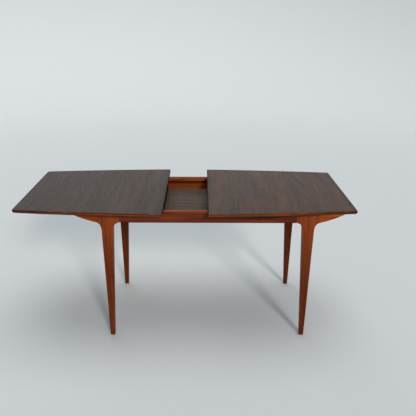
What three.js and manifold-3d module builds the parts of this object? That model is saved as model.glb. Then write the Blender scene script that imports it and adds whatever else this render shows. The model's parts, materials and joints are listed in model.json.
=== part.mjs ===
// Extending dining table with a boat-shaped top. Two half tops slide apart on runners, and a loose
// leaf is kept lengthwise in the well of the frame, under the gap that opens between them.
// Millimetres, +Z up, feet on Z = 0. The frame is drawn about its own centre; the whole table is then
// moved so that the origin is under the middle of its box with the left half top drawn out.
import * as THREE from 'three';
import { mergeVertices } from 'three/addons/utils/BufferGeometryUtils.js';
import Module from 'manifold-3d';

const wasm = await Module();
wasm.setup();

// ---- Driving dimensions ----
const GAP = 0.3;                    // joint line between two pieces that touch
const HEIGHT = 737;                 // floor to the upper face of the top
const HALF_LENGTH = 750;            // one half top, along X
const DEPTH_MIDDLE = 838;           // top across Y, where the halves meet
const DEPTH_END = 718;              // top across Y, at its two ends
const EDGE_BULGE = 15;              // how far the curved edge's control point is inside the middle depth
const TOP_THICK = 18;
const TRAVEL = 228.5;               // how far each half top slides out
const LIPPING = 14;                 // solid edge strip round each half top
const SHADOW_GAP = 5;               // open line between the frame and the top

const FRAME_HALF_DEPTH = 332;       // outer faces of rails, wings and leg heads
const RAIL_THICK = 24;
const RAIL_HEIGHT = 52;
const LEG_X = 515;                  // leg centre
const LEG_THICK = 48;               // leg head, across Y
const HEAD_INNER = 64;              // leg head, from the leg's centre towards the middle
const HEAD_OUTER = 52;              // leg head, from the leg's centre towards the end
const NECK_INNER = 30;              // leg below its head, from the leg's centre towards the middle
const NECK_OUTER = 27;              // leg below its head, from the leg's centre towards the end
const NECK_HEIGHT = 618;            // height where the straight taper starts
const FOOT_HALF = 11.5;
const WING_TIP_X = 703;

const GLIDE_RADIUS = 9;
const GLIDE_HEIGHT = 3;
const END_RAIL_LOW = 608;
const END_RAIL_HIGH = 650;

const LEAF_LENGTH = DEPTH_MIDDLE;   // the leaf spans the table when it is in use
const LEAF_WIDTH = 2 * TRAVEL;      // and fills the gap between the two half tops
const LEAF_BOTTOM = 652;
const BEARER_WIDTH = 50;
const BEARER_THICK = 22;
const BEARER_X = [-330, 0, 330];
const BEARER_NAMES = ['left', 'middle', 'right'];

const STRIP_LOW = 700;              // the slide groove lies between the ledge and the strip
const LEDGE_HIGH = 686;
const GROOVE_PLAY = 1;              // room for the tongue in its groove
const RUNNER_THICK = 21;
const RUNNER_START = 10;            // from the inner edge of a half top
const RUNNER_LENGTH = 410;
const BATTEN_HALF_LENGTH = 250;
const BATTEN_WIDTH = 45;
const INNER_BATTEN = { start: 3, thick: 43 };        // stiffens the inner edge, just clear of the leaf
const OUTER_BATTEN = { start: 560, thick: 14 };

const DOWEL_RADIUS = 3.5;
const DOWEL_OUT = 7;                // the part of a dowel that stands out of its edge
const DOWEL_ROOT = 5;               // and the part inside it
const SOCKET_SPARE = 2;             // a socket is this much deeper than its dowel
const DOWEL_Y = [-240, 0, 240];
const DOWEL_NAMES = ['front', 'middle', 'back'];

// ---- Sizes that follow ----
const TOP_UNDERSIDE = HEIGHT - TOP_THICK;
const FRAME_TOP = TOP_UNDERSIDE - SHADOW_GAP;
const RAIL_LOW = FRAME_TOP - RAIL_HEIGHT;
const LEG_Y = FRAME_HALF_DEPTH - LEG_THICK / 2;
const GUIDE_FACE = FRAME_HALF_DEPTH - LEG_THICK;      // inner face of strips, ledges and leg heads
const RAIL_INNER_FACE = FRAME_HALF_DEPTH - RAIL_THICK;
const RAIL_HALF_LENGTH = LEG_X - HEAD_INNER - GAP;
const BEARER_HIGH = LEAF_BOTTOM - GAP;
const DOWEL_Z = TOP_UNDERSIDE + TOP_THICK / 2;

// ---- Materials ----
const finish = (name, color, roughness) =>
  new THREE.MeshStandardMaterial({ name, color, roughness, metalness: 0 });
const FINISHES = {
  frameWood: () => finish('frame_wood', 0x6a3519, 0.5),
  topVeneer: () => finish('top_veneer', 0x5c463c, 0.4),
  lippingWood: () => finish('lipping_wood', 0x7d4322, 0.45),
  innerWood: () => finish('inner_wood', 0xa5835c, 0.7),
  felt: () => finish('felt', 0x2f2b28, 0.95),
  glide: () => finish('glide_nylon', 0x3a3633, 0.6),
};

// ---- Small helpers ----
function addPiece(group, name, geometry, finishName) {
  const mesh = new THREE.Mesh(geometry, FINISHES[finishName]());
  mesh.name = name;
  group.add(mesh);
  return mesh;
}

// A box from its lowest to its highest corner; either corner may come first on any axis.
function blockBetween(a, b) {
  const size = a.map((value, axis) => Math.abs(b[axis] - value));
  const middle = a.map((value, axis) => (value + b[axis]) / 2);
  return new THREE.BoxGeometry(...size).translate(...middle);
}

// A drawing in X and Y, raised from one height to another.
function raisePlan(shape, low, high, curveSegments = 1) {
  const depth = high - low;
  return new THREE.ExtrudeGeometry(shape, { depth, curveSegments, bevelEnabled: false })
    .translate(0, 0, low);
}

// A drawing in X and Z, given its thickness across Y.
function thickenFront(shape, nearY, farY, curveSegments = 1) {
  const depth = Math.abs(farY - nearY);
  return new THREE.ExtrudeGeometry(shape, { depth, curveSegments, bevelEnabled: false })
    .rotateX(Math.PI / 2)
    .translate(0, Math.max(nearY, farY), 0);
}

// A drawing in Y and Z, given its length along X.
function lengthenSection(shape, fromX, toX) {
  return new THREE.ExtrudeGeometry(shape, { depth: toX - fromX, bevelEnabled: false })
    .rotateZ(Math.PI / 2)
    .rotateY(Math.PI / 2)
    .translate(fromX, 0, 0);
}

const CURVE_STEPS = 8;              // straight steps along a curve of a leg or a wing

function toSolid(geometry) {
  const bare = geometry.clone();
  bare.deleteAttribute('normal');
  bare.deleteAttribute('uv');
  const merged = mergeVertices(bare);
  return new wasm.Manifold(new wasm.Mesh({
    numProp: 3,
    vertProperties: merged.attributes.position.array,
    triVerts: merged.index.array,
  }));
}

function toGeometry(solid) {
  const mesh = solid.getMesh();
  const geometry = new THREE.BufferGeometry();
  geometry.setAttribute('position', new THREE.BufferAttribute(mesh.vertProperties, 3));
  geometry.setIndex(new THREE.BufferAttribute(mesh.triVerts, 1));
  geometry.computeVertexNormals();
  return geometry;
}

const ROUND_SIDES = 12;

function rodAlongX(radius, fromX, toX, y, z) {
  const length = Math.abs(toX - fromX);
  return new THREE.CylinderGeometry(radius, radius, length, ROUND_SIDES)
    .rotateZ(Math.PI / 2)
    .translate((fromX + toX) / 2, y, z);
}

function rodAlongY(radius, fromY, toY, x, z) {
  const length = Math.abs(toY - fromY);
  return new THREE.CylinderGeometry(radius, radius, length, ROUND_SIDES)
    .translate(x, (fromY + toY) / 2, z);
}

function drill(geometry, drills) {
  const drilled = drills.reduce((solid, bit) => solid.subtract(toSolid(bit)), toSolid(geometry));
  return toGeometry(drilled);
}

// ---- Legs: a wide head that flows into a tapered leg, tapered across Y as well ----
function legGeometry(side, front) {
  const low = GLIDE_HEIGHT + GAP;
  const innerPull = { x: NECK_INNER + 3, z: RAIL_LOW - 4 };      // control points of the two curves
  const outerPull = { x: NECK_OUTER + 2, z: RAIL_LOW - 6 };
  const outline = new THREE.Shape();
  outline.moveTo(-side * FOOT_HALF, low);
  outline.lineTo(-side * NECK_INNER, NECK_HEIGHT);
  outline.quadraticCurveTo(-side * innerPull.x, innerPull.z, -side * HEAD_INNER, RAIL_LOW);
  outline.lineTo(-side * HEAD_INNER, FRAME_TOP);
  outline.lineTo(side * HEAD_OUTER, FRAME_TOP);
  outline.lineTo(side * HEAD_OUTER, RAIL_LOW);
  outline.quadraticCurveTo(side * outerPull.x, outerPull.z, side * NECK_OUTER, NECK_HEIGHT);
  outline.lineTo(side * FOOT_HALF, low);
  const front2d = thickenFront(outline, -LEG_THICK, LEG_THICK, CURVE_STEPS);

  const taper = new THREE.Shape();
  taper.moveTo(-FOOT_HALF, low);
  taper.lineTo(FOOT_HALF, low);
  taper.lineTo(LEG_THICK / 2, NECK_HEIGHT);
  taper.lineTo(LEG_THICK / 2, FRAME_TOP);
  taper.lineTo(-LEG_THICK / 2, FRAME_TOP);
  taper.lineTo(-LEG_THICK / 2, NECK_HEIGHT);
  const side2d = lengthenSection(taper, -2 * HEAD_INNER, 2 * HEAD_INNER);

  const leg = toGeometry(toSolid(front2d).intersect(toSolid(side2d)));
  return leg.translate(side * LEG_X, front * LEG_Y, 0);
}

// ---- Wings: brackets that carry the line of the rails out past the legs ----
function wingGeometry(side, front) {
  const root = LEG_X + HEAD_OUTER + GAP;
  const nose = 6;                                                // rounded tip
  const noseLow = FRAME_TOP - nose / 2;
  const pull = { x: WING_TIP_X - 50, z: RAIL_LOW + 23 };         // control point of the lower edge
  const outline = new THREE.Shape();
  outline.moveTo(side * root, FRAME_TOP);
  outline.lineTo(side * root, RAIL_LOW);
  outline.quadraticCurveTo(side * pull.x, pull.z, side * (WING_TIP_X - nose), noseLow);
  outline.quadraticCurveTo(side * WING_TIP_X, FRAME_TOP - nose / 4, side * WING_TIP_X, FRAME_TOP);
  return thickenFront(outline, front * RAIL_INNER_FACE, front * FRAME_HALF_DEPTH, CURVE_STEPS);
}

// ---- Cross bearers: they carry the leaf, and their ends are undercut to stay behind the rails ----
function bearerGeometry(x) {
  const reach = GUIDE_FACE + 8;         // the ends are screwed up under the ledges
  const thinEnd = 5;
  const undercutFrom = reach - 57;
  const low = BEARER_HIGH - BEARER_THICK;
  const section = new THREE.Shape();
  section.moveTo(-reach, BEARER_HIGH);
  section.lineTo(-reach, BEARER_HIGH - thinEnd);
  section.lineTo(-undercutFrom, low);
  section.lineTo(undercutFrom, low);
  section.lineTo(reach, BEARER_HIGH - thinEnd);
  section.lineTo(reach, BEARER_HIGH);
  return lengthenSection(section, x - BEARER_WIDTH / 2, x + BEARER_WIDTH / 2);
}

// ---- The frame: rails, slide strips and ledges, legs, wings, end rails, bearers, fences ----
function buildFrame() {
  const frame = new THREE.Group();
  const ends = [['left', -1], ['right', 1]];
  const faces = [['front', -1], ['back', 1]];

  for (const [face, front] of faces) {
    const length = RAIL_HALF_LENGTH;
    const inner = front * GUIDE_FACE;
    const outer = front * (RAIL_INNER_FACE - GAP);
    addPiece(frame, `side_rail_${face}`, blockBetween(
      [-length, front * RAIL_INNER_FACE, RAIL_LOW],
      [length, front * FRAME_HALF_DEPTH, FRAME_TOP]), 'frameWood');
    addPiece(frame, `slide_strip_${face}`, blockBetween(
      [-length, inner, STRIP_LOW], [length, outer, FRAME_TOP]), 'frameWood');
    addPiece(frame, `slide_ledge_${face}`, blockBetween(
      [-length, inner, LEAF_BOTTOM], [length, outer, LEDGE_HIGH]), 'frameWood');

    const fenceNear = LEAF_WIDTH / 2 + DOWEL_OUT + 1;
    const fenceThick = 13;
    const fenceHeight = 12;
    addPiece(frame, `leaf_fence_${face}`, blockBetween(
      [-length, front * fenceNear, LEAF_BOTTOM],
      [length, front * (fenceNear + fenceThick), LEAF_BOTTOM + fenceHeight]), 'frameWood');
  }

  BEARER_X.forEach((x, index) => {
    addPiece(frame, `bearer_${BEARER_NAMES[index]}`, bearerGeometry(x), 'innerWood');
  });

  for (const [end, side] of ends) {
    addPiece(frame, `end_rail_${end}`, blockBetween(
      [side * LEG_X - RAIL_THICK / 2, -GUIDE_FACE + 2 * GAP, END_RAIL_LOW],
      [side * LEG_X + RAIL_THICK / 2, GUIDE_FACE - 2 * GAP, END_RAIL_HIGH]), 'frameWood');

    for (const [face, front] of faces) {
      const corner = `${face}_${end}`;
      addPiece(frame, `leg_${corner}`, legGeometry(side, front), 'frameWood');
      addPiece(frame, `wing_${corner}`, wingGeometry(side, front), 'frameWood');
      addPiece(frame, `foot_glide_${corner}`, glideGeometry(side, front), 'glide');
      addPiece(frame, `slide_pad_${corner}`, padGeometry(side, front), 'felt');
    }
  }
  return frame;
}

function glideGeometry(side, front) {
  const sides = 16;
  return new THREE.CylinderGeometry(GLIDE_RADIUS, GLIDE_RADIUS, GLIDE_HEIGHT, sides)
    .rotateX(Math.PI / 2)
    .translate(side * LEG_X, front * LEG_Y, GLIDE_HEIGHT / 2);
}

// Felt pads on the leg heads: the half tops rub on them as they slide.
function padGeometry(side, front) {
  const halfLength = 16;
  const inset = 5;
  const width = 14;
  const near = GUIDE_FACE + inset;
  return blockBetween(
    [side * LEG_X - halfLength, front * near, FRAME_TOP + GAP],
    [side * LEG_X + halfLength, front * (near + width), TOP_UNDERSIDE - GAP]);
}

// ---- Half tops ----
// Distance from the centre line to the bowed long edge, at a distance x from the inner edge.
function edgeDepth(x) {
  const start = DEPTH_MIDDLE / 2;
  const end = DEPTH_END / 2;
  const control = start - EDGE_BULGE;
  const t = x / HALF_LENGTH;
  return (1 - t) ** 2 * start + 2 * t * (1 - t) * control + t ** 2 * end;
}

const EDGE_STEPS = 14;

// Adds the bowed edge, or a line inset from it, to a plan that is being drawn.
function drawEdge(plan, side, front, fromX, toX, inset) {
  for (let step = 0; step <= EDGE_STEPS; step += 1) {
    const x = fromX + ((toX - fromX) * step) / EDGE_STEPS;
    plan.lineTo(side * x, front * (edgeDepth(x) - inset));
  }
}

function longLippingGeometry(side, front) {
  const corner = 6;
  const cornerSteps = 3;
  const end = { x: side * HALF_LENGTH, y: front * edgeDepth(HALF_LENGTH) };
  const plan = new THREE.Shape();
  plan.moveTo(side * GAP, front * (edgeDepth(GAP) - LIPPING));
  drawEdge(plan, side, front, GAP, HALF_LENGTH - corner, 0);
  plan.quadraticCurveTo(end.x, end.y, end.x, end.y - front * corner);
  drawEdge(plan, side, front, HALF_LENGTH, GAP + 1, LIPPING);
  return raisePlan(plan, TOP_UNDERSIDE, HEIGHT, cornerSteps);
}

function panelGeometry(side) {
  const near = LIPPING + 2 * GAP;
  const far = HALF_LENGTH - LIPPING - GAP;
  const inset = LIPPING + 2 * GAP;
  const plan = new THREE.Shape();
  plan.moveTo(side * near, -(edgeDepth(near) - inset));
  drawEdge(plan, side, -1, near + 1, far, inset);
  drawEdge(plan, side, 1, far, near, inset);
  return raisePlan(plan, TOP_UNDERSIDE, HEIGHT);
}

// The strip along the inner edge. Three dowels stand out of the right half's edge and enter sockets
// in the left half's edge, or in the leaf.
function innerLippingGeometry(side) {
  const halfLength = edgeDepth(LIPPING + GAP) - LIPPING - 2 * GAP;
  const strip = blockBetween(
    [side * GAP, -halfLength, TOP_UNDERSIDE], [side * (LIPPING + GAP), halfLength, HEIGHT]);
  const isRight = side > 0;
  const depth = isRight ? DOWEL_ROOT + GAP : DOWEL_OUT + SOCKET_SPARE;
  const radius = DOWEL_RADIUS + GAP * (isRight ? 1 : 2);
  const bits = DOWEL_Y.map((y) => rodAlongX(radius, -side, side * (depth + GAP), y, DOWEL_Z));
  return drill(strip, bits);
}

function buildHalfTop(end, side) {
  const top = new THREE.Group();
  const name = `${end}_top`;
  const endReach = DEPTH_END / 2 - LIPPING - GAP;
  addPiece(top, `${name}_panel`, panelGeometry(side), 'topVeneer');
  addPiece(top, `${name}_lipping_inner`, innerLippingGeometry(side), 'lippingWood');
  addPiece(top, `${name}_lipping_end`, blockBetween(
    [side * (HALF_LENGTH - LIPPING), -endReach, TOP_UNDERSIDE],
    [side * HALF_LENGTH, endReach, HEIGHT]), 'lippingWood');

  const battenHigh = TOP_UNDERSIDE - GAP;
  const battens = [['inner', INNER_BATTEN, 'frameWood'], ['outer', OUTER_BATTEN, 'innerWood']];
  for (const [place, { start, thick }, finishName] of battens) {
    addPiece(top, `${name}_batten_${place}`, blockBetween(
      [side * start, -BATTEN_HALF_LENGTH, battenHigh - thick],
      [side * (start + BATTEN_WIDTH), BATTEN_HALF_LENGTH, battenHigh]), finishName);
  }

  for (const [face, front] of [['front', -1], ['back', 1]]) {
    addPiece(top, `${name}_lipping_${face}`, longLippingGeometry(side, front), 'lippingWood');

    const outerFace = GUIDE_FACE - GROOVE_PLAY;
    const runnerLow = LEDGE_HIGH + GROOVE_PLAY;
    addPiece(top, `${name}_runner_${face}`, blockBetween(
      [side * RUNNER_START, front * (outerFace - RUNNER_THICK), runnerLow],
      [side * (RUNNER_START + RUNNER_LENGTH), front * outerFace, battenHigh]), 'innerWood');

    // The tongue's outer end meets the leg head when the half top is fully out.
    const tongueEnd = RAIL_HALF_LENGTH - TRAVEL - GROOVE_PLAY;
    const tongueHigh = STRIP_LOW - GROOVE_PLAY;
    addPiece(top, `${name}_tongue_${face}`, blockBetween(
      [side * RUNNER_START, front * (outerFace + GAP), runnerLow],
      [side * tongueEnd, front * (RAIL_INNER_FACE - 2 * GROOVE_PLAY), tongueHigh]), 'innerWood');
  }
  return top;
}

// ---- The loose leaf, lying lengthwise in the well with its show face up ----
function buildLeaf() {
  const leaf = new THREE.Group();
  const halfLength = LEAF_LENGTH / 2;
  const halfWidth = LEAF_WIDTH / 2;
  const leafTop = LEAF_BOTTOM + TOP_THICK;
  const middle = LEAF_BOTTOM + TOP_THICK / 2;
  const panelEnd = halfLength - LIPPING - GAP;

  const panel = blockBetween([-panelEnd, -halfWidth, LEAF_BOTTOM], [panelEnd, halfWidth, leafTop]);
  const socketEnd = -halfWidth + DOWEL_OUT + SOCKET_SPARE;
  const rootEnd = halfWidth - DOWEL_ROOT;
  const bits = DOWEL_Y.flatMap((x) => [
    rodAlongY(DOWEL_RADIUS + 2 * GAP, -halfWidth - 1, socketEnd, x, middle),
    rodAlongY(DOWEL_RADIUS + GAP, rootEnd - GAP, halfWidth + 1, x, middle),
  ]);
  addPiece(leaf, 'leaf_panel', drill(panel, bits), 'topVeneer');

  for (const [end, side] of [['left', -1], ['right', 1]]) {
    addPiece(leaf, `leaf_lipping_${end}`, blockBetween(
      [side * (halfLength - LIPPING), -halfWidth, LEAF_BOTTOM],
      [side * halfLength, halfWidth, leafTop]), 'lippingWood');
  }
  DOWEL_Y.forEach((x, index) => {
    const dowel = rodAlongY(DOWEL_RADIUS, rootEnd, halfWidth + DOWEL_OUT, x, middle);
    addPiece(leaf, `leaf_dowel_${DOWEL_NAMES[index]}`, dowel, 'lippingWood');
  });
  return leaf;
}

// ---- The whole table, with the left half top drawn out ----
const table = new THREE.Group();
table.position.x = TRAVEL / 2;
table.add(buildFrame());
table.add(buildLeaf());

const leftTop = buildHalfTop('left', -1);
leftTop.position.x = -TRAVEL;
table.add(leftTop);

const rightTop = buildHalfTop('right', 1);
DOWEL_Y.forEach((y, index) => {
  const dowel = rodAlongX(DOWEL_RADIUS, GAP + DOWEL_ROOT, GAP - DOWEL_OUT, y, DOWEL_Z);
  addPiece(rightTop, `top_dowel_${DOWEL_NAMES[index]}`, dowel, 'lippingWood');
});
table.add(rightTop);

export default table;
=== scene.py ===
"""Looks of the extending dining table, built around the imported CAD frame. Metres, +Z up."""
import json
import math

import bmesh
import bpy
from mathutils import Matrix, Vector


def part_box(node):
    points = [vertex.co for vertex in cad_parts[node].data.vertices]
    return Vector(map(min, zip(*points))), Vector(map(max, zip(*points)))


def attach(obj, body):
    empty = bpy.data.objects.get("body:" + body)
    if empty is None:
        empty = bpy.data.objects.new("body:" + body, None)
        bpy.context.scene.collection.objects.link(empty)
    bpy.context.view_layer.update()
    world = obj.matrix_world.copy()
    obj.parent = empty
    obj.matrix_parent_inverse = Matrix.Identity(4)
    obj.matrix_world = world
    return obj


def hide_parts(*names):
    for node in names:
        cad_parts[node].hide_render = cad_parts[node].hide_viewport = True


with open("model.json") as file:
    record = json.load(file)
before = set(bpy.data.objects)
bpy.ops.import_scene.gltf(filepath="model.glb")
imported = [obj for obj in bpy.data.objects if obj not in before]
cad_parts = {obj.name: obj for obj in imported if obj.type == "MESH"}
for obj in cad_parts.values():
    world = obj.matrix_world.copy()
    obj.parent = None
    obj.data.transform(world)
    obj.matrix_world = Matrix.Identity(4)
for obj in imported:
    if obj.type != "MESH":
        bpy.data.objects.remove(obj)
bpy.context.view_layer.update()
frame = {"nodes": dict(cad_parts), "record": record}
nodes = frame["nodes"]

MM = 0.001
ENDS = {"left": -1, "right": 1}     # which way along X
FACES = {"front": -1, "back": 1}    # which way along Y

CAMERA_PLACE = (0.077, -3.017, 1.675)
CAMERA_PITCH = math.radians(19.17)  # down from level
CAMERA_YAW = math.radians(-0.77)
CAMERA_ROLL = math.radians(0.46)
CAMERA_LENS = 48.9

SKY_COLOUR = (0.62, 0.70, 0.74, 1)
SKY_STRENGTH = 0.4

FOOT_HALF = 11.5 * MM
NECK_INNER = 30 * MM                # leg below its head, from the leg's centre towards the middle
NECK_OUTER = 27 * MM                # and towards the end
HEAD_INNER = 64 * MM                # leg head, from the leg's centre towards the middle
HEAD_OUTER = 52 * MM                # and towards the end
HEAD_HALF_THICK = 24 * MM
NECK_DROP = 44 * MM                 # from the rail's lower edge down to the straight taper

WING_NOSE = 6 * MM                  # rounded tip of a wing
WING_NOSE_EDGE = 0.8 * MM           # what is left of its height at the very tip

EDGE_BULGE = 15 * MM                # how far the bowed edge's control point is inside its middle
CORNER_RADIUS = 8 * MM
VENEER = 0.8 * MM
CROWN = 2.2 * MM                    # rounding of the edge strips' upper arris
INNER_CROWN = 1.2 * MM              # the face veneer stops this far from the inner edge
UNDERCUT = 7.5 * MM                 # the edge is cut back this much underneath, at 45 degrees
LOWER_ROUND = 1.0 * MM
JOINT_LINE = 0.3 * MM
SAME_SPOT = 0.01 * MM               # points closer than this are one point


# ---------------------------------------------------------------- camera, light and floor

def link(item):
    bpy.context.scene.collection.objects.link(item)
    return item


def make_camera():
    data = bpy.data.cameras.new("view_camera")
    data.sensor_width = 36.0
    data.lens = CAMERA_LENS
    camera = link(bpy.data.objects.new("view_camera", data))
    turn = (
        Matrix.Rotation(CAMERA_YAW, 4, "Z")
        @ Matrix.Rotation(math.radians(90) - CAMERA_PITCH, 4, "X")
        @ Matrix.Rotation(CAMERA_ROLL, 4, "Z")
    )
    camera.matrix_world = Matrix.Translation(CAMERA_PLACE) @ turn
    bpy.context.scene.camera = camera


def soft_sun(name, place, strength, spread, colour):
    """A distant studio light, shining from place towards the origin. Its spread is in degrees."""
    data = bpy.data.lights.new(name, "SUN")
    data.energy = strength
    data.angle = math.radians(spread)
    data.color = colour
    lamp = link(bpy.data.objects.new(name, data))
    lamp.location = place
    lamp.rotation_euler = Vector(place).to_track_quat("Z", "Y").to_euler()


def make_light():
    world = bpy.data.worlds.new("studio")
    world.use_nodes = True
    background = world.node_tree.nodes["Background"]
    background.inputs["Color"].default_value = SKY_COLOUR
    background.inputs["Strength"].default_value = SKY_STRENGTH
    bpy.context.scene.world = world
    bpy.context.scene.view_settings.view_transform = "Standard"
    soft_sun("key", (1.4, -4.2, 2.1), 1.5, 10, (1.0, 0.95, 0.88))
    soft_sun("overhead", (0.5, 0.4, 4.0), 1.0, 50, (1.0, 0.98, 0.95))
    soft_sun("rear", (-1.6, 4.0, 2.2), 0.5, 40, (0.82, 0.92, 1.0))


def make_studio():
    """A round pale floor that sweeps up into a plain wall, the same from every side."""
    flat_radius = 6.0
    sweep_radius = 2.5
    wall_top = 7.0
    sides = 96
    steps = 12
    profile = [(flat_radius / 2, 0.0), (flat_radius, 0.0)]
    for step in range(1, steps + 1):
        angle = math.radians(90) * step / steps
        profile.append((
            flat_radius + sweep_radius * math.sin(angle),
            sweep_radius * (1 - math.cos(angle))))
    profile.append((flat_radius + sweep_radius, wall_top))
    points = []
    for radius, height in profile:
        for side in range(sides):
            turn = 2 * math.pi * side / sides
            points.append((radius * math.cos(turn), radius * math.sin(turn), height))
    faces = [tuple(range(sides))]
    for row in range(len(profile) - 1):
        for side in range(sides):
            here = row * sides + side
            beside = row * sides + (side + 1) % sides
            faces.append((here, here + sides, beside + sides, beside))
    mesh = bpy.data.meshes.new("studio")
    mesh.from_pydata(points, [], faces)
    mesh.shade_smooth()
    studio = link(bpy.data.objects.new("studio", mesh))
    studio.visible_shadow = False
    mesh.materials.append(studio_paint())


def studio_paint():
    """Pale matt paint that falls off to grey high up the wall, above what the camera sees."""
    n = Nodes("studio_paint")
    height = n.add("ShaderNodeSeparateXYZ")
    n.join(n.object_point(), height.inputs[0])
    high_up = n.spread(height.outputs["Z"], 1.8, 4.5)
    n.join(n.blend(high_up, (0.72, 0.75, 0.77), (0.30, 0.32, 0.33)), n.shader.inputs["Base Color"])
    n.shader.inputs["Roughness"].default_value = 0.8
    n.shader.inputs["Specular IOR Level"].default_value = 0.1
    return n.material


# ---------------------------------------------------------------- material building blocks

class Nodes:
    """A short way to add and join shader nodes."""

    def __init__(self, name):
        self.material = bpy.data.materials.new(name)
        self.material.use_nodes = True
        self.tree = self.material.node_tree
        self.shader = self.tree.nodes["Principled BSDF"]

    def add(self, kind, **settings):
        node = self.tree.nodes.new(kind)
        for key, value in settings.items():
            setattr(node, key, value)
        return node

    def join(self, source, target):
        self.tree.links.new(source, target)

    def feed(self, socket, value):
        if isinstance(value, bpy.types.NodeSocket):
            self.join(value, socket)
        else:
            socket.default_value = value

    def object_point(self):
        return self.add("ShaderNodeTexCoord").outputs["Object"]

    def scaled(self, point, scale):
        node = self.add("ShaderNodeMapping")
        self.join(point, node.inputs["Vector"])
        node.inputs["Scale"].default_value = scale
        return node.outputs["Vector"]

    def vector(self, operation, a, b, c):
        node = self.add("ShaderNodeVectorMath", operation=operation)
        self.feed(node.inputs[0], a)
        self.feed(node.inputs[1], b)
        self.feed(node.inputs[2], c)
        return node.outputs[0]

    def noise(self, point, scale, detail=2.0, roughness=0.5, distortion=0.0):
        node = self.add("ShaderNodeTexNoise")
        self.join(point, node.inputs["Vector"])
        node.inputs["Scale"].default_value = scale
        node.inputs["Detail"].default_value = detail
        node.inputs["Roughness"].default_value = roughness
        node.inputs["Distortion"].default_value = distortion
        return node.outputs["Fac"]

    def maths(self, operation, a, b=0.0, c=0.0):
        node = self.add("ShaderNodeMath", operation=operation)
        self.feed(node.inputs[0], a)
        self.feed(node.inputs[1], b)
        self.feed(node.inputs[2], c)
        return node.outputs[0]

    def spread(self, value, low, high, to_low=0.0, to_high=1.0):
        """Stretches low..high to to_low..to_high, smoothly and clamped."""
        node = self.add("ShaderNodeMapRange", interpolation_type="SMOOTHSTEP")
        self.feed(node.inputs["Value"], value)
        node.inputs["From Min"].default_value = low
        node.inputs["From Max"].default_value = high
        node.inputs["To Min"].default_value = to_low
        node.inputs["To Max"].default_value = to_high
        return node.outputs["Result"]

    def ramp(self, value, stops):
        node = self.add("ShaderNodeValToRGB")
        self.feed(node.inputs["Fac"], value)
        elements = node.color_ramp.elements
        while len(elements) < len(stops):
            elements.new(0.5)
        for element, (place, colour) in zip(elements, stops):
            element.position = place
            element.color = (*colour, 1)
        return node.outputs["Color"]

    def blend(self, amount, a, b, mode="MIX"):
        node = self.add("ShaderNodeMix", data_type="RGBA", blend_type=mode)
        self.feed(node.inputs["Factor"], amount)
        self.feed(node.inputs["A"], a if isinstance(a, bpy.types.NodeSocket) else (*a, 1))
        self.feed(node.inputs["B"], b if isinstance(b, bpy.types.NodeSocket) else (*b, 1))
        return node.outputs["Result"]

    def tint(self, colour, amount):
        """Makes a colour brighter or darker by a factor."""
        node = self.add("ShaderNodeVectorMath", operation="SCALE")
        self.join(colour, node.inputs[0])
        self.join(amount, node.inputs["Scale"])
        return node.outputs[0]

    def attribute(self, name):
        return self.add("ShaderNodeAttribute", attribute_name=name).outputs["Fac"]

    def bump(self, height, strength, distance):
        node = self.add("ShaderNodeBump")
        self.join(height, node.inputs["Height"])
        node.inputs["Strength"].default_value = strength
        node.inputs["Distance"].default_value = distance
        self.join(node.outputs["Normal"], self.shader.inputs["Normal"])


make_camera()
make_light()
make_studio()


# ---------------------------------------------------------------- wood

GRAIN_STRETCH = {                   # the figure is drawn out along the fibres
    "X": (0.03, 1.0, 1.0),
    "Y": (1.0, 0.03, 1.0),
    "Z": (1.0, 1.0, 0.03),
}
FIBRE_SCALE = 520.0                 # noise scales, in features to the metre
PORE_SCALE = 1150.0
GLOSS_SCALE = 60.0
DIRT_AND_SHADE_SCALE = 24.0
ARRIS_PATCH_SCALE = 21.0
WARM_SCALE = 8.0
BOARD_SHIFT = (3.1, 5.3, 7.7)       # how far the figure moves from one board to the next
WARM = (1.45, 1.06, 0.72)           # multiplies the colour where the finish is thin
DIRT_AND_SHADE = (0.20, 0.15, 0.13)          # multiplies it where dirt has gathered and where shade is painted in


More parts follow.
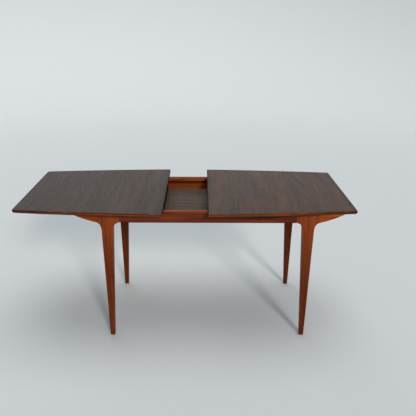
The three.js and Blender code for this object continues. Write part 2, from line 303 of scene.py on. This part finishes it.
def wood(
        name, grain, stops, arris_wear_and_light_colour, figure=80.0, roughness=0.46, shine=0.2, contrast=1.0,
        warm_patches=0.0, arris_spots=(0.30, 0.50)):
    """Wood with its fibres along one axis: growth figure, fibre streaks, pores, and coloured
    arrises (pale wear with painted highlight on the top's edges, painted shade on the frame).

    Reads three attributes of the mesh: board, a number of its own for each board;
    arris_wear_and_light, 1 on the arrises; and dirt_and_shade, 1 where the wood is darkened, for
    dirt and as painted shade."""
    n = Nodes(name)
    board = n.attribute("board")
    point = n.vector("MULTIPLY_ADD", board, BOARD_SHIFT, n.object_point())
    wander = n.noise(point, 1.7, 1.0)
    drift = n.vector("MULTIPLY_ADD", wander, (0.10, 0.10, 0.10), point)
    along = n.scaled(drift, GRAIN_STRETCH[grain])

    bands = n.noise(along, figure, 4.0, 0.62, 0.35)
    wide = n.noise(along, figure / 4, 1.0)
    flow = n.maths("MULTIPLY_ADD", wide, 0.45, n.maths("MULTIPLY", bands, 0.75))
    tone = n.maths("MULTIPLY_ADD", n.maths("SUBTRACT", flow, 0.6), contrast, 0.42)
    tone = n.maths("MULTIPLY_ADD", board, 0.16, tone)
    colour = n.ramp(tone, stops)

    fibre = n.noise(along, FIBRE_SCALE, 2.0, 0.6)
    streak = n.spread(fibre, 0.3, 0.7, 0.82, 1.12)
    colour = n.tint(colour, streak)
    pores = n.spread(n.noise(along, PORE_SCALE, 0.0), 0.62, 0.72)
    colour = n.blend(n.maths("MULTIPLY", pores, 0.55), colour, stops[0][1])
    if warm_patches:
        patch = n.noise(n.scaled(point, (1.0, 0.6, 1.0)), WARM_SCALE, 4.0, 0.65)
        warm = n.spread(patch, 0.38, 0.60, 0.0, warm_patches)
        colour = n.blend(warm, colour, WARM, "MULTIPLY")

    # darkening by this attribute: real dirt in places, painted shade in others
    cloudy = n.spread(n.noise(point, DIRT_AND_SHADE_SCALE, 3.0), 0.2, 0.7, 1.0, 0.8)
    dirt_and_shade = n.maths("MULTIPLY", n.attribute("dirt_and_shade"), cloudy)
    colour = n.blend(dirt_and_shade, colour, DIRT_AND_SHADE, "MULTIPLY")
    # the arrises take their own colour: painted shade on the frame, pale wear and painted highlight
    # on the top's crown
    arris_patches = n.spread(n.noise(point, ARRIS_PATCH_SCALE, 3.0), *arris_spots)
    arris_wear_and_light = n.maths("MULTIPLY", n.attribute("arris_wear_and_light"), arris_patches)
    colour = n.blend(arris_wear_and_light, colour, arris_wear_and_light_colour)
    n.join(colour, n.shader.inputs["Base Color"])

    gloss = n.noise(along, GLOSS_SCALE, 3.0)
    handling = n.spread(gloss, 0.3, 0.7, roughness - 0.03, roughness + 0.04)
    dulled = n.maths("MULTIPLY_ADD", arris_wear_and_light, 0.12, n.maths("MULTIPLY_ADD", pores, 0.15, handling))
    n.join(dulled, n.shader.inputs["Roughness"])
    n.shader.inputs["Specular IOR Level"].default_value = shine
    n.bump(n.maths("MULTIPLY_ADD", pores, -1.0, n.maths("MULTIPLY", fibre, 0.4)), 0.25, 0.0002)
    return n.material


# Colour stops, from the darkest late wood to the palest early wood.
RAIL_STOPS = [
    (0.18, (0.070, 0.009, 0.002)),
    (0.42, (0.150, 0.024, 0.005)),
    (0.62, (0.210, 0.038, 0.007)),
    (0.85, (0.300, 0.066, 0.012)),
]
LEG_STOPS = [
    (0.18, (0.105, 0.016, 0.003)),
    (0.42, (0.200, 0.037, 0.007)),
    (0.62, (0.270, 0.055, 0.010)),
    (0.85, (0.370, 0.090, 0.017)),
]
WING_STOPS = [
    (0.18, (0.150, 0.024, 0.004)),
    (0.42, (0.260, 0.052, 0.009)),
    (0.62, (0.340, 0.078, 0.014)),
    (0.85, (0.460, 0.125, 0.025)),
]
EDGE_STOPS = [
    (0.18, (0.110, 0.018, 0.002)),
    (0.42, (0.220, 0.045, 0.006)),
    (0.62, (0.310, 0.072, 0.010)),
    (0.85, (0.430, 0.110, 0.016)),
]
TOP_STOPS = [
    (0.15, (0.028, 0.017, 0.015)),
    (0.42, (0.056, 0.033, 0.026)),
    (0.62, (0.084, 0.050, 0.037)),
    (0.88, (0.130, 0.076, 0.052)),
]
LEAF_STOPS = [
    (0.15, (0.045, 0.030, 0.024)),
    (0.42, (0.078, 0.052, 0.042)),
    (0.62, (0.102, 0.069, 0.054)),
    (0.88, (0.140, 0.094, 0.070)),
]
# Near-black wood for the inner edge strips and inner battens: painted shade in the gap beside the
# leaf.
PAINTED_SHADE_STOPS = [
    (0.18, (0.010, 0.002, 0.001)),
    (0.42, (0.018, 0.004, 0.001)),
    (0.62, (0.026, 0.006, 0.002)),
    (0.85, (0.040, 0.009, 0.002)),
]
PALE_STOPS = [
    (0.18, (0.200, 0.115, 0.055)),
    (0.42, (0.290, 0.180, 0.095)),
    (0.62, (0.350, 0.230, 0.125)),
    (0.85, (0.420, 0.290, 0.165)),
]
ARRIS_PAINTED_SHADE = (0.050, 0.008, 0.002)  # painted shade on the frame's rounded arrises, standing for the shade beneath them
ARRIS_WEAR_AND_HIGHLIGHT = (0.26, 0.15, 0.10)     # the top's crown: rubbed-through wear and a painted highlight
TOP_WORN = (0.15, 0.10, 0.075)
PALE_WORN = (0.45, 0.33, 0.21)


def lighter(stops, factor):
    """The same stops with every colour brighter by a factor."""
    return [(place, tuple(factor * channel for channel in colour)) for place, colour in stops]


WOODS = {}
for axis in ("X", "Y"):
    WOODS["rail", axis] = wood(
        f"rail_wood_{axis}", axis, lighter(RAIL_STOPS, 1.12), ARRIS_PAINTED_SHADE, shine=0.15, contrast=1.3)
    # the edge strips' crown gets pale spots: partly wear, partly a painted highlight
    WOODS["edge", axis] = wood(
        f"edge_wood_{axis}", axis, EDGE_STOPS, ARRIS_WEAR_AND_HIGHLIGHT, roughness=0.42, shine=0.12,
        arris_spots=(0.56, 0.68))
    WOODS["inner", axis] = wood(f"inner_wood_{axis}", axis, PALE_STOPS, PALE_WORN, roughness=0.68)
WOODS["dark", "Y"] = wood("dark_wood_Y", "Y", PAINTED_SHADE_STOPS, ARRIS_PAINTED_SHADE, shine=0.05)
WOODS["leg", "Z"] = wood(
    "leg_wood_Z", "Z", lighter(LEG_STOPS, 1.1), ARRIS_PAINTED_SHADE, shine=0.08, contrast=1.3)
for board, factor in (("left", 1.0), ("right", 1.35), ("strip", 1.12), ("ledge", 0.72)):
    WOODS["wing", board] = wood(
        f"wing_wood_{board}", "X", lighter(WING_STOPS, factor), ARRIS_PAINTED_SHADE, shine=0.03,
        contrast=2.0)
for end, warm_patches, factor in (("left", 0.35, 0.84), ("right", 1.0, 0.98)):
    WOODS["top", end] = wood(
        f"top_veneer_{end}", "Y", lighter(TOP_STOPS, factor), TOP_WORN, figure=110.0,
        roughness=0.36, shine=0.34, contrast=1.3, warm_patches=warm_patches)
WOODS["top", "leaf"] = wood(
    "top_veneer_leaf", "X", LEAF_STOPS, TOP_WORN, figure=50.0, roughness=0.42, shine=0.20,
    contrast=1.6, warm_patches=0.2)


def felt():
    """Dark wool felt: a soft fibre mat with a little sheen."""
    n = Nodes("felt")
    point = n.object_point()
    hairs = n.noise(point, 2600.0, 3.0, 0.7, 0.8)
    mottle = n.noise(point, 160.0, 2.0)
    base = n.ramp(mottle, [(0.3, (0.020, 0.018, 0.016)), (0.7, (0.040, 0.036, 0.032))])
    lit = n.spread(hairs, 0.4, 0.7, 0.0, 0.5)
    n.join(n.blend(lit, base, (0.09, 0.08, 0.07)), n.shader.inputs["Base Color"])
    n.join(n.spread(hairs, 0.3, 0.7, 0.98, 0.85), n.shader.inputs["Roughness"])
    n.shader.inputs["Sheen Weight"].default_value = 0.35
    n.bump(hairs, 0.6, 0.0005)
    return n.material


def nylon():
    """Dark moulded nylon, scuffed underneath."""
    n = Nodes("glide_nylon")
    point = n.object_point()
    scuff = n.noise(point, 480.0, 4.0, 0.7)
    colour = n.ramp(scuff, [(0.35, (0.018, 0.017, 0.016)), (0.7, (0.055, 0.05, 0.046))])
    n.join(colour, n.shader.inputs["Base Color"])
    n.join(n.spread(scuff, 0.3, 0.7, 0.42, 0.7), n.shader.inputs["Roughness"])
    n.bump(scuff, 0.2, 0.0002)
    return n.material


PLAIN = {"felt": felt(), "glide": nylon()}


# ---------------------------------------------------------------- mesh building blocks

WIDE_ANGLE = math.radians(28)       # edges that turn more than this are rounded
SMOOTH_ANGLE = math.radians(40)     # edges that turn less than this are shaded smooth


def weigh_edges(mesh, weight_of):
    """Gives each sharp edge its share of the bevel width."""
    layers = mesh.edges.layers.float
    layer = layers.get("bevel_weight_edge") or layers.new("bevel_weight_edge")
    for edge in mesh.edges:
        if len(edge.link_faces) == 2 and edge.calc_face_angle() > WIDE_ANGLE:
            edge[layer] = weight_of(edge)


def stamp(data, name, value_of):
    """Stores a number on each point of a mesh."""
    layer = data.attributes.new(name, "FLOAT", "POINT")
    layer.data.foreach_set("value", [value_of(vert.co) for vert in data.vertices])


def board_number(name):
    """A number from 0 to 1 that is always the same for one name and differs between names."""
    golden = 0.6180339
    return sum(ord(letter) * place for place, letter in enumerate(name, 3)) * golden % 1.0


def piece_from(mesh, name, material, body, replaced, width=0.0, steps=3, dirt_and_shade_of=None):
    """Makes the finished piece: rounds its arrises, marks them for wear and painted shade, and puts
    it on its body.

    While the arrises are being rounded, a second slot tells the new faces from the old ones."""
    bmesh.ops.recalc_face_normals(mesh, faces=mesh.faces)
    data = bpy.data.meshes.new(name)
    mesh.to_mesh(data)
    mesh.free()
    piece = link(bpy.data.objects.new(name, data))
    for _ in range(2):
        data.materials.append(material)
    if width:
        round_over = piece.modifiers.new("round_over", "BEVEL")
        round_over.width = width
        round_over.segments = steps
        round_over.limit_method = "WEIGHT"
        round_over.material = 1
        round_over.use_clamp_overlap = True
        bpy.context.view_layer.update()
        evaluated = piece.evaluated_get(bpy.context.evaluated_depsgraph_get())
        data = bpy.data.meshes.new_from_object(evaluated)
        piece.modifiers.clear()
        piece.data = data
    mark_arris_wear_and_light(data)
    number = board_number(name)
    stamp(data, "board", lambda spot: number)
    stamp(data, "dirt_and_shade", dirt_and_shade_of or (lambda spot: 0.0))
    data.materials.pop(index=1)
    data.shade_smooth()
    data.set_sharp_from_angle(angle=SMOOTH_ANGLE)
    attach(piece, body)
    if replaced:
        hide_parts(*replaced)
    return piece


# this arris mark carries painted shade on the frame and painted highlight on the top's crown
def mark_arris_wear_and_light(data):
    """Stores 1 on the points that lie only on rounded arrises, and 0 elsewhere."""
    arris_wear_and_light_colour = [1.0] * len(data.vertices)
    for face in data.polygons:
        if face.material_index == 0:
            for index in face.vertices:
                arris_wear_and_light_colour[index] = 0.0
        face.material_index = 0
    layer = data.attributes.new("arris_wear_and_light", "FLOAT", "POINT")
    layer.data.foreach_set("value", arris_wear_and_light_colour)


def body_of(node):
    for body, members in frame["record"]["behaviour"]["bodies"].items():
        if node in members:
            return body
    raise KeyError(node)


def slot_of(node):
    for row in frame["record"]["subparts"]:
        if row["node"] == node:
            return row["material_slot"]
    raise KeyError(node)


def merge_doubles(mesh):
    bmesh.ops.remove_doubles(mesh, verts=mesh.verts, dist=SAME_SPOT)


def soften(node, material, width, steps=3, lowered=0.0, dirt_and_shade_of=None, weight_of=None):
    """Replaces a CAD node by the same board with rounded arrises, and its top lowered if asked."""
    kind = "felt" if slot_of(node) == "felt" else "wood"
    mesh = bmesh.new()
    mesh.from_mesh(nodes[node].data)
    merge_doubles(mesh)
    bmesh.ops.dissolve_limit(
        mesh, angle_limit=math.radians(0.3), verts=mesh.verts, edges=mesh.edges)
    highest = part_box(node)[1].z
    for vert in mesh.verts:
        if vert.co.z > highest - lowered / 2:
            vert.co.z -= lowered
    weigh_edges(mesh, weight_of or (lambda edge: 1.0))
    return piece_from(
        mesh, f"{node}_{kind}", material, body_of(node), [node], width, steps,
        dirt_and_shade_of)


def loft(rings):
    """A closed mesh through closed rings that all have the same number of points."""
    mesh = bmesh.new()
    rows = [[mesh.verts.new(point) for point in ring] for ring in rings]
    count = len(rows[0])
    for row, following in zip(rows, rows[1:]):
        for i in range(count):
            j = (i + 1) % count
            mesh.faces.new((row[i], row[j], following[j], following[i]))
    mesh.faces.new(list(reversed(rows[0])))
    mesh.faces.new(rows[-1])
    return mesh


def bend(start, control, end, t):
    """A point of a quadratic curve through start and end, pulled towards control."""
    return start * (1 - t) ** 2 + control * 2 * t * (1 - t) + end * t ** 2


def clamp(share):
    return min(1.0, max(0.0, share))


# ---------------------------------------------------------------- legs

LEG_COLUMNS = 6
TAPER_ROWS = 12
FLOW_ROWS = 10
HEAD_ROWS = 3
LEG_GRIME = 0.55                    # how much darker a leg gets down to the middle of its height
# starting tone of each leg; the back legs' extra darkness is painted shade from the top above them
LEG_TONE_AND_SHADE = {
    ("front", "left"): 0.0, ("front", "right"): 0.14,
    ("back", "left"): 0.16, ("back", "right"): 0.38,
}
LEG_ROUND = 4 * MM
FOOT_SHARE = 0.3                    # shares of that rounding
HEAD_SHARE = 0.12
FLOW_SHARE = 0.55


def leg_rows(side, centre, low, high, rail_low):
    """Pairs of inner and outer points up the leg, in X and Z: taper, flowing shoulder, head."""
    neck = rail_low - NECK_DROP
    rows = []
    for step in range(TAPER_ROWS):
        share = step / TAPER_ROWS
        inner = FOOT_HALF + (NECK_INNER - FOOT_HALF) * share
        outer = FOOT_HALF + (NECK_OUTER - FOOT_HALF) * share
        height = low + (neck - low) * share
        rows.append((Vector((-inner, height)), Vector((outer, height))))
    for step in range(FLOW_ROWS + 1):
        t = step / FLOW_ROWS
        inner = bend(
            Vector((-NECK_INNER, neck)),
            Vector((-NECK_INNER - 3 * MM, rail_low - 4 * MM)),
            Vector((-HEAD_INNER, rail_low)), t)
        outer = bend(
            Vector((NECK_OUTER, neck)),
            Vector((NECK_OUTER + 2 * MM, rail_low - 6 * MM)),
            Vector((HEAD_OUTER, rail_low)), t)
        rows.append((inner, outer))
    for step in range(1, HEAD_ROWS + 1):
        height = rail_low + (high - rail_low) * step / HEAD_ROWS
        rows.append((Vector((-HEAD_INNER, height)), Vector((HEAD_OUTER, height))))
    return [
        tuple(Vector((centre + side * point.x, point.y)) for point in row)
        for row in rows
    ]


def half_thickness(height, low, rail_low):
    neck = rail_low - NECK_DROP
    share = min(1.0, (height - low) / (neck - low))
    return FOOT_HALF + (HEAD_HALF_THICK - FOOT_HALF) * share


def make_leg(end, side, face):
    node = f"leg_{face}_{end}"
    low_corner, high_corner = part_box(node)
    rail_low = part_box(f"side_rail_{face}")[0].z
    across = (low_corner.y + high_corner.y) / 2
    inner_x = high_corner.x if side < 0 else low_corner.x
    centre = inner_x + side * HEAD_INNER
    low, high = low_corner.z, high_corner.z
    rings = []
    for inner, outer in leg_rows(side, centre, low, high, rail_low):
        ring = []
        for facing in (-1, 1):
            for column in range(LEG_COLUMNS + 1):
                share = column / LEG_COLUMNS
                if facing > 0:
                    share = 1 - share
                spot = inner.lerp(outer, share)
                depth = half_thickness(spot.y, low, rail_low)
                ring.append(Vector((spot.x, across + facing * depth, spot.y)))
        rings.append(ring)
    mesh = loft(rings)

    def weight(edge):
        first, second = (vert.co.z for vert in edge.verts)
        height = (first + second) / 2
        flat = abs(first - second) < SAME_SPOT
        if flat and height < low + 1 * MM:
            return FOOT_SHARE
        if height > rail_low + 3 * MM:
            return HEAD_SHARE
        return FLOW_SHARE if height > rail_low - NECK_DROP else 1.0

    def down_the_leg(spot):
        """The legs darken towards the floor, each from a tone of its own, with painted shade added
        on the back legs.
        """
        drop = (rail_low - spot.z) / (0.5 * (rail_low - low))
        return LEG_TONE_AND_SHADE[face, end] + LEG_GRIME * clamp(drop)

    weigh_edges(mesh, weight)
    return piece_from(
        mesh, f"{node}_wood", WOODS["leg", "Z"], "frame", [node], LEG_ROUND, 4,
        dirt_and_shade_of=down_the_leg)


# ---------------------------------------------------------------- wings

WING_STEPS = 14
WING_ROUND = 3 * MM
WING_TOP_SHARE = 0.12               # share of that rounding at the joints


def make_wing(end, side, face):
    node = f"wing_{face}_{end}"
    low_corner, high_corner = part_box(node)
    root = low_corner.x if side > 0 else high_corner.x
    tip = high_corner.x if side > 0 else low_corner.x
    top = high_corner.z
    bottom = low_corner.z
    start = Vector((root, bottom))
    control = Vector((tip - side * 50 * MM, bottom + 23 * MM))
    finish = Vector((tip - side * WING_NOSE, top - WING_NOSE / 2))
    lower_edge = [bend(start, control, finish, step / WING_STEPS) for step in range(WING_STEPS + 1)]
    lower_edge.append(Vector((tip, top - WING_NOSE_EDGE)))
    mesh = loft([
        [
            Vector((spot.x, low_corner.y, top)),
            Vector((spot.x, high_corner.y, top)),
            Vector((spot.x, high_corner.y, spot.y)),
            Vector((spot.x, low_corner.y, spot.y)),
        ]
        for spot in lower_edge
    ])

    def weight(edge):
        first, second = (vert.co for vert in edge.verts)
        upright = abs(first.x - second.x) < SAME_SPOT
        at_top = max(first.z, second.z) > top - 1 * MM
        return WING_TOP_SHARE if upright or at_top else 1.0

    weigh_edges(mesh, weight)
    return piece_from(
        mesh, f"{node}_wood", WOODS["wing", end], "frame", [node], WING_ROUND, 3)


# ---------------------------------------------------------------- half tops

EDGE_STEPS = 40
CORNER_STEPS = 6
CROWN_STEPS = 4
RIM_SCALE = 0.94                    # the finish is darker from here out to the edge
RIM_GRIME = 0.6
# painted shade on the upper part of the edge face, per half top
UPPER_EDGE_SHADE = {"left": 1.0, "right": 0.75}


def top_outline(length, middle, end, lipping):
    """Outer point, outward direction and inner point round one quarter of a half top, in its own
    frame: x from the inner edge, y outwards. It stops where the rounded corner runs into the end
    edge. The second result is the row at the corner's mitre."""
    def edge_depth(x):
        """Distance from the centre line to the bowed edge, at x from the inner edge."""
        return bend(middle, middle - EDGE_BULGE, end, x / length)

    nudge = 0.5 * MM
    inner_end = length - lipping
    inner_corner = Vector((inner_end, edge_depth(inner_end) - lipping))
    rows = []
    for step in range(EDGE_STEPS + 1):
        x = (length - CORNER_RADIUS) * step / EDGE_STEPS
        depth = edge_depth(x)
        slope = (edge_depth(x + nudge) - edge_depth(x - nudge)) / (2 * nudge)
        outward = Vector((-slope, 1)).normalized() if step else Vector((0, 1))
        inner = Vector((min(x, inner_end), depth - lipping))
        rows.append((Vector((x, depth)), outward, inner))
    last, outward_start, _ = rows[-1]
    pivot = last - outward_start * CORNER_RADIUS
    start_angle = math.atan2(outward_start.y, outward_start.x)
    reach = length - pivot.x
    for step in range(1, CORNER_STEPS + 1):
        angle = start_angle * (1 - step / CORNER_STEPS)
        outward = Vector((math.cos(angle), math.sin(angle)))
        spot = pivot + outward * CORNER_RADIUS
        spot.x = min(length, spot.x + (reach - CORNER_RADIUS) * step / CORNER_STEPS)
        rows.append((spot, outward, inner_corner.copy()))
    split = len(rows) - 1 - CORNER_STEPS // 2
    return rows, split


def placer(inner_edge, side, front):
    """Turns a point of the outline and a height into a point of the table."""
    return lambda point, height: Vector((inner_edge + side * point.x, front * point.y, height))


def lipping_ring(row, low, high, place):
    """One closed ring of the edge strip: rounded above, cut back below, rebated for the veneer."""
    spot, outward, inner = row
    profile = [
        (UNDERCUT, low),
        (UNDERCUT * 0.5, low + UNDERCUT * 0.5),
        (LOWER_ROUND, low + UNDERCUT - LOWER_ROUND),
        (LOWER_ROUND * 0.3, low + UNDERCUT),
        (0.0, low + UNDERCUT + LOWER_ROUND),
        (0.0, (low + UNDERCUT + high) / 2),
    ]
    for step in range(CROWN_STEPS + 1):
        angle = math.radians(90) * step / CROWN_STEPS
        profile.append((CROWN * (1 - math.cos(angle)), high - CROWN + CROWN * math.sin(angle)))
    profile.append((CROWN + SAME_SPOT, high - VENEER))
    ring = [place(inner, low)]
    ring += [place(spot - outward * inset, height) for inset, height in profile]
    ring.append(place(inner, high - VENEER))
    return ring


def mark_crown_wear_and_highlight(data, high):
    """Marks the crown of an edge strip for pale wear and a painted highlight."""
    layer = data.attributes["arris_wear_and_light"]
    for vert in data.vertices:
        rise = vert.co.z - (high - CROWN)
        if 0.15 * CROWN < rise < 0.98 * CROWN:
            layer.data[vert.index].value = 1.0


def make_half_top(end, side):
    name = f"{end}_top"
    low_corner, high_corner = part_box(f"{name}_lipping_front")
    back_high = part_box(f"{name}_lipping_back")[1]
    end_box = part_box(f"{name}_lipping_end")
    inner_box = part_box(f"{name}_lipping_inner")
    low, high = low_corner.z, high_corner.z
    inner_edge = low_corner.x if side > 0 else high_corner.x
    outer_edge = high_corner.x if side > 0 else low_corner.x
    length = abs(outer_edge - inner_edge)
    lipping = abs(end_box[1].x - end_box[0].x)
    end_depth = end_box[1].y + lipping + JOINT_LINE
    inner_strip = abs(inner_box[1].x - inner_box[0].x)
    rows, split = top_outline(length, back_high.y, end_depth, lipping)

    def edge_dirt_and_shade(spot):
        """Darker towards the end of the half top; painted shade high on the edge face, where the
        lower face is left light as if lit, and on the undercut below.
        """
        share = abs(spot.x - inner_edge) / length
        by_end = clamp((share - 0.60) / 0.2)
        rise = (spot.z - (low + UNDERCUT + LOWER_ROUND)) / (high - low - UNDERCUT)
        # painted shade: the upper edge face darker, the lower part light as if lit
        by_height = UPPER_EDGE_SHADE[end] * clamp(2.0 * rise)
        # painted shade on the undercut
        below = 1.0 if spot.z < low + UNDERCUT - 0.5 * LOWER_ROUND else 0.0
        return max(by_end, by_height, below)

    near, far = (placer(inner_edge, side, front) for front in FACES.values())

    def add_strip(place, axis, rings):
        mesh = loft(rings)
        merge_doubles(mesh)
        node = f"{name}_lipping_{place}"
        strip = piece_from(
            mesh, f"{node}_wood", WOODS["edge", axis], name, [node],
            dirt_and_shade_of=edge_dirt_and_shade)
        mark_crown_wear_and_highlight(strip.data, high)

    long_rows = rows[:split + 1]
    end_rows = rows[split:]
    add_strip("front", "X", [lipping_ring(row, low, high, near) for row in long_rows])
    add_strip("back", "X", [lipping_ring(row, low, high, far) for row in long_rows])
    add_strip(
        "end", "Y",
        [lipping_ring(row, low, high, near) for row in end_rows]
        + [lipping_ring(row, low, high, far) for row in reversed(end_rows)])

    make_panel(name, end, rows, (near, far), inner_strip, low, high)
    # the inner edge strip is near-black: painted shade in the gap
    soften(f"{name}_lipping_inner", WOODS["dark", "Y"], 0.8 * MM, 2, lowered=VENEER)


def make_panel(name, end, rows, places, inner_strip, low, high):
    """The core inside the edge strips, and the face veneer that runs out over them to the crown."""
    core = []
    face = []
    for spot, outward, inner in rows:
        core.append(Vector((max(inner.x, inner_strip), inner.y)))
        shown = spot - outward * CROWN
        face.append(Vector((max(shown.x, INNER_CROWN), shown.y)))
    middle = Vector((face[-1].x / 2, 0))
    clean = [middle + (point - middle) * RIM_SCALE for point in face]

    def whole(points, height):
        near, far = places
        return [near(point, height) for point in points] + [
            far(point, height) for point in reversed(points)]

    mesh = loft([
        whole(core, low), whole(core, high - VENEER), whole(face, high - VENEER),
        whole(face, high), whole(clean, high)])
    merge_doubles(mesh)
    cleaned = {(round(spot.x, 5), round(spot.y, 5)) for spot in whole(clean, high)}

    def rim_grime(spot):
        return 0.0 if (round(spot.x, 5), round(spot.y, 5)) in cleaned else RIM_GRIME

    node = f"{name}_panel"
    panel = piece_from(
        mesh, f"{node}_veneer", WOODS["top", end], name, [node], dirt_and_shade_of=rim_grime)
    panel.data.materials.append(WOODS["inner", "Y"])
    for polygon in panel.data.polygons:
        if polygon.normal.z < -0.5:
            polygon.material_index = 1


# ---------------------------------------------------------------- turned and small pieces

DOWEL_GRIME = 0.5


def make_dowel(node, axis):
    """A dowel with glue flutes along it and a rounded nose. It points along -X or along +Y."""
    low_corner, high_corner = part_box(node)
    middle = (low_corner + high_corner) / 2
    length = high_corner[axis] - low_corner[axis]
    radius = (high_corner.z - low_corner.z) / 2
    flutes = 12
    sides = flutes * 4
    nose = radius * 0.5
    outline = [(0.0, radius * 0.86), (0.4 * MM, radius), (length - nose, radius)]
    for step in range(1, 5):
        angle = math.radians(80) * step / 4
        outline.append((
            length - nose + nose * math.sin(angle),
            radius * (0.4 + 0.6 * math.cos(angle))))
    rings = []
    for travel, size in outline:
        ring = []
        for step in range(sides):
            turn = 2 * math.pi * step / sides
            shown = size * (0.96 + 0.04 * math.cos(flutes * turn))
            across = shown * math.cos(turn)
            rise = middle.z + shown * math.sin(turn)
            if axis == 0:
                ring.append(Vector((high_corner.x - travel, middle.y + across, rise)))
            else:
                ring.append(Vector((middle.x + across, low_corner.y + travel, rise)))
        rings.append(ring)
    return piece_from(
        loft(rings), f"{node}_wood", WOODS["edge", "XY"[axis]], body_of(node),
        [node], dirt_and_shade_of=lambda spot: DOWEL_GRIME)


def make_glide(node):
    """A nailed-on glide: a shallow dome with a rounded rim."""
    low_corner, high_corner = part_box(node)
    middle = (low_corner + high_corner) / 2
    radius = (high_corner.x - low_corner.x) / 2
    height = high_corner.z - low_corner.z
    sides = 32
    outline = [
        (0.45, 0.0), (0.80, 0.0), (0.92, 0.10), (0.99, 0.35),
        (1.0, 0.62), (0.97, 0.88), (0.90, 1.0),
    ]
    rings = []
    for share, rise in outline:
        rings.append([
            Vector((
                middle.x + radius * share * math.cos(2 * math.pi * step / sides),
                middle.y + radius * share * math.sin(2 * math.pi * step / sides),
                low_corner.z + height * rise,
            ))
            for step in range(sides)
        ])
    return piece_from(loft(rings), f"{node}_disc", PLAIN["glide"], "frame", [node])


# ---------------------------------------------------------------- the table

def rail_shade_and_tone(spot):
    """Painted shade on the lower arris of the side rails, standing for the shade beneath them; the
    rails are also darker towards the right.
    """
    low_corner, high_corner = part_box("side_rail_front")
    # painted shade along the lower arris
    if spot.z < low_corner.z + 2.5 * MM:
        return 1.0
    return 0.45 * (spot.x - low_corner.x) / (high_corner.x - low_corner.x)


def rail_weight(edge):
    """Only the long lower edges of a side rail are fully rounded."""
    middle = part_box("side_rail_front")[0].z + 10 * MM
    return 1.0 if all(vert.co.z < middle for vert in edge.verts) and along_x(edge) else 0.15


def along_x(edge):
    start, end = (vert.co for vert in edge.verts)
    return abs(start.x - end.x) > abs(start.z - end.z) + abs(start.y - end.y)


def make_frame():
    for face in FACES:
        soften(
            f"side_rail_{face}", WOODS["rail", "X"], 4.0 * MM, dirt_and_shade_of=rail_shade_and_tone,
            weight_of=rail_weight)
        for board in ("strip", "ledge"):
            soften(f"slide_{board}_{face}", WOODS["wing", board], 1.0 * MM, 2)
        soften(f"leaf_fence_{face}", WOODS["rail", "X"], 1.0 * MM, 2)
    for place in ("left", "middle", "right"):
        soften(f"bearer_{place}", WOODS["inner", "Y"], 1.5 * MM, 2)
    for end, side in ENDS.items():
        soften(f"end_rail_{end}", WOODS["rail", "Y"], 2.0 * MM)
        for face in FACES:
            make_leg(end, side, face)
            make_wing(end, side, face)
            make_glide(f"foot_glide_{face}_{end}")
            soften(f"slide_pad_{face}_{end}", PLAIN["felt"], 1.2 * MM, 2)


def make_tops():
    for end, side in ENDS.items():
        make_half_top(end, side)
        # the inner batten is near-black: painted shade in the gap
        soften(f"{end}_top_batten_inner", WOODS["dark", "Y"], 1.5 * MM, 2)
        soften(f"{end}_top_batten_outer", WOODS["inner", "Y"], 1.5 * MM, 2)
        for face in FACES:
            soften(f"{end}_top_runner_{face}", WOODS["inner", "X"], 1.2 * MM, 2)
            soften(f"{end}_top_tongue_{face}", WOODS["inner", "X"], 0.8 * MM, 2)
    for place in ("front", "middle", "back"):
        make_dowel(f"top_dowel_{place}", 0)


def make_leaf():
    soften("leaf_panel", WOODS["top", "leaf"], 0.8 * MM, 2)
    for end in ENDS:
        soften(f"leaf_lipping_{end}", WOODS["edge", "Y"], 0.8 * MM, 2, dirt_and_shade_of=lambda spot: 0.6)
    for place in ("front", "middle", "back"):
        make_dowel(f"leaf_dowel_{place}", 1)


make_frame()
make_tops()
make_leaf()
